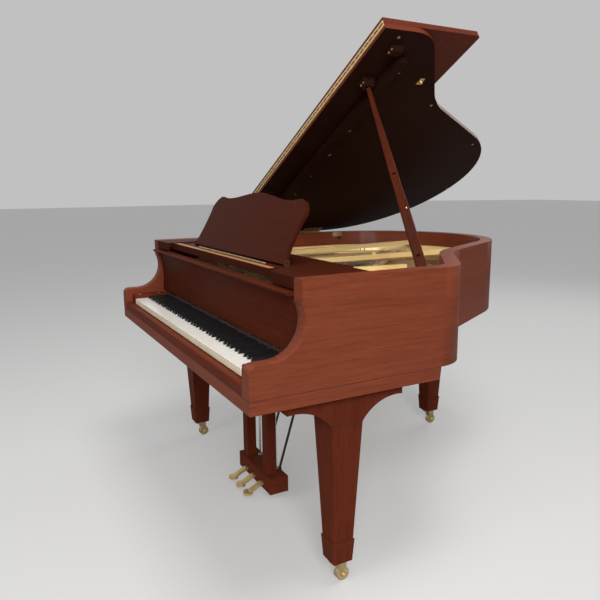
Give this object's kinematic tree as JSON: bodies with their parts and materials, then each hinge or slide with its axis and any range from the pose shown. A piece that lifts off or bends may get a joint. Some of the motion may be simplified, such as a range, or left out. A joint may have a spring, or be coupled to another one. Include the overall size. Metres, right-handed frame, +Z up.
{
  "type": "baby grand piano",
  "caption": "Baby grand piano with a bent rim, propped lid and folded front flap, music desk, keyboard with hammer action, strung iron plate, pedal lyre and legs on casters.",
  "frame": {"origin": "on the floor, below the middle of the case's width and length", "axes": "+X towards the treble side, +Y from the keyboard to the tail, +Z up"},
  "size_m": [1.4929, 1.5988, 1.7091],
  "materials": {
    "case_wood": "satin red-brown mahogany",
    "inner_wood": "plain maple and beech, unpolished",
    "soundboard_spruce": "varnished spruce",
    "hammer_felt": "pressed wool felt on wood",
    "damper_wood": "black stained",
    "brass": "polished",
    "gold_iron": "gold lacquer",
    "copper_wire": "copper wound",
    "steel_wire": "bright",
    "action_metal": "satin",
    "white_key": "gloss keytop on spruce",
    "black_key": "gloss black",
    "bright_steel": "bright rod",
    "black_rod": "black"
  },
  "bodies": {
    "case": {"bass_leg": "case_wood", "bass_strings": "copper_wire", "belly_rail": "inner_wood", "bridges": "inner_wood", "case_braces": "inner_wood", "inner_rim": "inner_wood", "key_blocks": "case_wood", "key_slip": "case_wood", "keybed": "case_wood", "lid_hinge_case": "brass", "lyre": "case_wood", "lyre_stays": "black_rod", "pedal_box": "case_wood", "pin_block": "inner_wood", "plain_strings": "steel_wire", "plate": "gold_iron", "prop_hinge": "brass", "rim": "case_wood", "shelf_wings": "case_wood", "soundboard": "soundboard_spruce", "soundboard_ribs": "inner_wood", "tail_leg": "case_wood", "treble_leg": "case_wood"},
    "lid": {"lid": "case_wood", "lid_hinge_lid": "brass", "flap_hinge_lid": "brass", "prop_cups": "case_wood"},
    "lid_flap": {"lid_flap": "case_wood", "flap_hinge_flap": "brass"},
    "lid_prop": {"lid_prop": "case_wood"},
    "short_prop": {"short_prop": "case_wood"},
    "music_tray": {"music_tray": "case_wood", "desk_hinges": "brass"},
    "music_desk": {"music_desk": "case_wood"},
    "desk_strut": {"desk_strut": "case_wood"},
    "fallboard": {"fallboard": "case_wood"},
    "action": {"key_frame": "inner_wood", "action_rails": "action_metal"},
    "white_keys_a": {"white_keys_a": "white_key"},
    "white_keys_b": {"white_keys_b": "white_key"},
    "black_keys": {"black_keys": "black_key"},
    "dampers": {"dampers": "damper_wood"},
    "hammers_a": {"hammers_a": "hammer_felt"},
    "wippens_a": {"wippens_a": "inner_wood"},
    "hammers_b": {"hammers_b": "hammer_felt"},
    "wippens_b": {"wippens_b": "inner_wood"},
    "hammers_c": {"hammers_c": "hammer_felt"},
    "wippens_c": {"wippens_c": "inner_wood"},
    "left_pedal": {"left_pedal": "brass"},
    "left_pedal_rod": {"left_pedal_rod": "bright_steel"},
    "middle_pedal": {"middle_pedal": "brass"},
    "middle_pedal_rod": {"middle_pedal_rod": "bright_steel"},
    "right_pedal": {"right_pedal": "brass"},
    "right_pedal_rod": {"right_pedal_rod": "bright_steel"},
    "bass_fork": {"bass_caster_fork": "brass"},
    "bass_wheel": {"bass_caster_wheel": "brass"},
    "treble_fork": {"treble_caster_fork": "brass"},
    "treble_wheel": {"treble_caster_wheel": "brass"},
    "tail_fork": {"tail_caster_fork": "brass"},
    "tail_wheel": {"tail_caster_wheel": "brass"}
  },
  "joints": [
    {"name": "lid_hinge", "type": "hinge", "parent": "case", "child": "lid", "pos_m": [-0.744, 0.22855, 0.982], "axis": [0, -1, 0], "range_deg": [0, 32]},
    {"name": "flap_hinge", "type": "hinge", "parent": "lid", "child": "lid_flap", "pos_m": [-0.75368, -0.27035, 1.00036], "axis": [0.8846, 0, 0.4664], "range_deg": [0, 180]},
    {"name": "prop_hinge", "type": "hinge", "parent": "case", "child": "lid_prop", "pos_m": [0.662, -0.17345, 0.945], "axis": [-0.6483, -0.6823, -0.3378], "range_deg": [0, 73]},
    {"name": "short_prop_hinge", "type": "hinge", "parent": "lid_prop", "child": "short_prop", "pos_m": [0.6345, -0.18081, 1.01264], "axis": [0.6483, 0.6823, 0.3378], "range_deg": [0, 50]},
    {"name": "tray_slide", "type": "slide", "parent": "case", "child": "music_tray", "axis": [0, -1, 0], "range_m": [0, 0.12]},
    {"name": "desk_hinge", "type": "hinge", "parent": "music_tray", "child": "music_desk", "pos_m": [0, -0.53345, 0.985], "axis": [-1, 0, 0], "range_deg": [0, 55]},
    {"name": "strut_hinge", "type": "hinge", "parent": "music_desk", "child": "desk_strut", "pos_m": [0, -0.44672, 1.10856], "axis": [1, 0, 0], "range_deg": [0, 125]},
    {"name": "fallboard_hinge", "type": "hinge", "parent": "case", "child": "fallboard", "pos_m": [0, -0.60545, 0.762], "axis": [1, 0, 0], "range_deg": [0, 86]},
    {"name": "action_shift", "type": "slide", "parent": "case", "child": "action", "axis": [1, 0, 0], "range_m": [0, 0.0025], "stiffness_N_per_m": 6000, "springref_m": -0.001},
    {"name": "white_keys_a_rock", "type": "hinge", "parent": "action", "child": "white_keys_a", "pos_m": [0, -0.55645, 0.705], "axis": [1, 0, 0], "range_deg": [0, 2.67], "stiffness_Nm_per_rad": 60, "springref_deg": -3.44},
    {"name": "wippens_a_lift", "type": "hinge", "parent": "action", "child": "wippens_a", "pos_m": [0, -0.38145, 0.751], "axis": [-1, 0, 0], "range_deg": [0, 4.6]},
    {"name": "hammers_a_swing", "type": "hinge", "parent": "action", "child": "hammers_a", "pos_m": [0, -0.54345, 0.79], "axis": [1, 0, 0], "range_deg": [0, 20.2]},
    {"name": "white_keys_b_rock", "type": "hinge", "parent": "action", "child": "white_keys_b", "pos_m": [0, -0.55645, 0.705], "axis": [1, 0, 0], "range_deg": [0, 2.67], "stiffness_Nm_per_rad": 60, "springref_deg": -3.44},
    {"name": "wippens_b_lift", "type": "hinge", "parent": "action", "child": "wippens_b", "pos_m": [0, -0.38145, 0.751], "axis": [-1, 0, 0], "range_deg": [0, 4.6]},
    {"name": "hammers_b_swing", "type": "hinge", "parent": "action", "child": "hammers_b", "pos_m": [0, -0.54345, 0.79], "axis": [1, 0, 0], "range_deg": [0, 20.2]},
    {"name": "black_keys_rock", "type": "hinge", "parent": "action", "child": "black_keys", "pos_m": [0, -0.55645, 0.705], "axis": [1, 0, 0], "range_deg": [0, 2.67], "stiffness_Nm_per_rad": 60, "springref_deg": -3.44},
    {"name": "wippens_c_lift", "type": "hinge", "parent": "action", "child": "wippens_c", "pos_m": [0, -0.38145, 0.751], "axis": [-1, 0, 0], "range_deg": [0, 4.6]},
    {"name": "hammers_c_swing", "type": "hinge", "parent": "action", "child": "hammers_c", "pos_m": [0, -0.54345, 0.79], "axis": [1, 0, 0], "range_deg": [0, 20.2]},
    {"name": "left_pedal_press", "type": "hinge", "parent": "case", "child": "left_pedal", "pos_m": [-0.075, -0.43645, 0.066], "axis": [1, 0, 0], "range_deg": [0, 8.1]},
    {"name": "left_rod_lift", "type": "slide", "parent": "case", "child": "left_pedal_rod", "axis": [0, 0, 1], "range_m": [0, 0.0041]},
    {"name": "middle_pedal_press", "type": "hinge", "parent": "case", "child": "middle_pedal", "pos_m": [0, -0.43645, 0.066], "axis": [1, 0, 0], "range_deg": [0, 8], "stiffness_Nm_per_rad": 18, "springref_deg": -3.44},
    {"name": "middle_rod_lift", "type": "slide", "parent": "case", "child": "middle_pedal_rod", "axis": [0, 0, 1], "range_m": [0, 0.0041]},
    {"name": "right_pedal_press", "type": "hinge", "parent": "case", "child": "right_pedal", "pos_m": [0.075, -0.43645, 0.066], "axis": [1, 0, 0], "range_deg": [0, 8], "stiffness_Nm_per_rad": 18, "springref_deg": -3.44},
    {"name": "right_rod_lift", "type": "slide", "parent": "case", "child": "right_pedal_rod", "axis": [0, 0, 1], "range_m": [0, 0.0041]},
    {"name": "damper_lift", "type": "slide", "parent": "case", "child": "dampers", "axis": [0, 0, 1], "range_m": [0, 0.0041]},
    {"name": "bass_caster_swivel", "type": "hinge", "parent": "case", "child": "bass_fork", "pos_m": [-0.651, -0.47845, 0.07], "axis": [0, 0, 1], "continuous": true},
    {"name": "bass_caster_roll", "type": "hinge", "parent": "bass_fork", "child": "bass_wheel", "pos_m": [-0.651, -0.46445, 0.022], "axis": [1, 0, 0], "continuous": true},
    {"name": "treble_caster_swivel", "type": "hinge", "parent": "case", "child": "treble_fork", "pos_m": [0.651, -0.47845, 0.07], "axis": [0, 0, 1], "continuous": true},
    {"name": "treble_caster_roll", "type": "hinge", "parent": "treble_fork", "child": "treble_wheel", "pos_m": [0.651, -0.46445, 0.022], "axis": [1, 0, 0], "continuous": true},
    {"name": "tail_caster_swivel", "type": "hinge", "parent": "case", "child": "tail_fork", "pos_m": [-0.21506, 0.61245, 0.07], "axis": [0, 0, 1], "continuous": true},
    {"name": "tail_caster_roll", "type": "hinge", "parent": "tail_fork", "child": "tail_wheel", "pos_m": [-0.21506, 0.62645, 0.022], "axis": [1, 0, 0], "continuous": true}
  ],
  "couplings": [
    {"joint": "strut_hinge", "follows": "desk_hinge", "ratio": 2.25},
    {"joint": "wippens_a_lift", "follows": "white_keys_a_rock", "ratio": 1.69},
    {"joint": "hammers_a_swing", "follows": "white_keys_a_rock", "ratio": 7.5},
    {"joint": "wippens_b_lift", "follows": "white_keys_b_rock", "ratio": 1.69},
    {"joint": "hammers_b_swing", "follows": "white_keys_b_rock", "ratio": 7.5},
    {"joint": "wippens_c_lift", "follows": "black_keys_rock", "ratio": 1.69},
    {"joint": "hammers_c_swing", "follows": "black_keys_rock", "ratio": 7.5},
    {"joint": "left_pedal_press", "follows": "action_shift", "rad_per_m": 55.851},
    {"joint": "left_rod_lift", "follows": "action_shift", "ratio": 1.5917},
    {"joint": "middle_rod_lift", "follows": "middle_pedal_press", "m_per_rad": 0.0285},
    {"joint": "right_rod_lift", "follows": "right_pedal_press", "m_per_rad": 0.0285},
    {"joint": "damper_lift", "follows": "right_pedal_press", "m_per_rad": 0.0285}
  ]
}
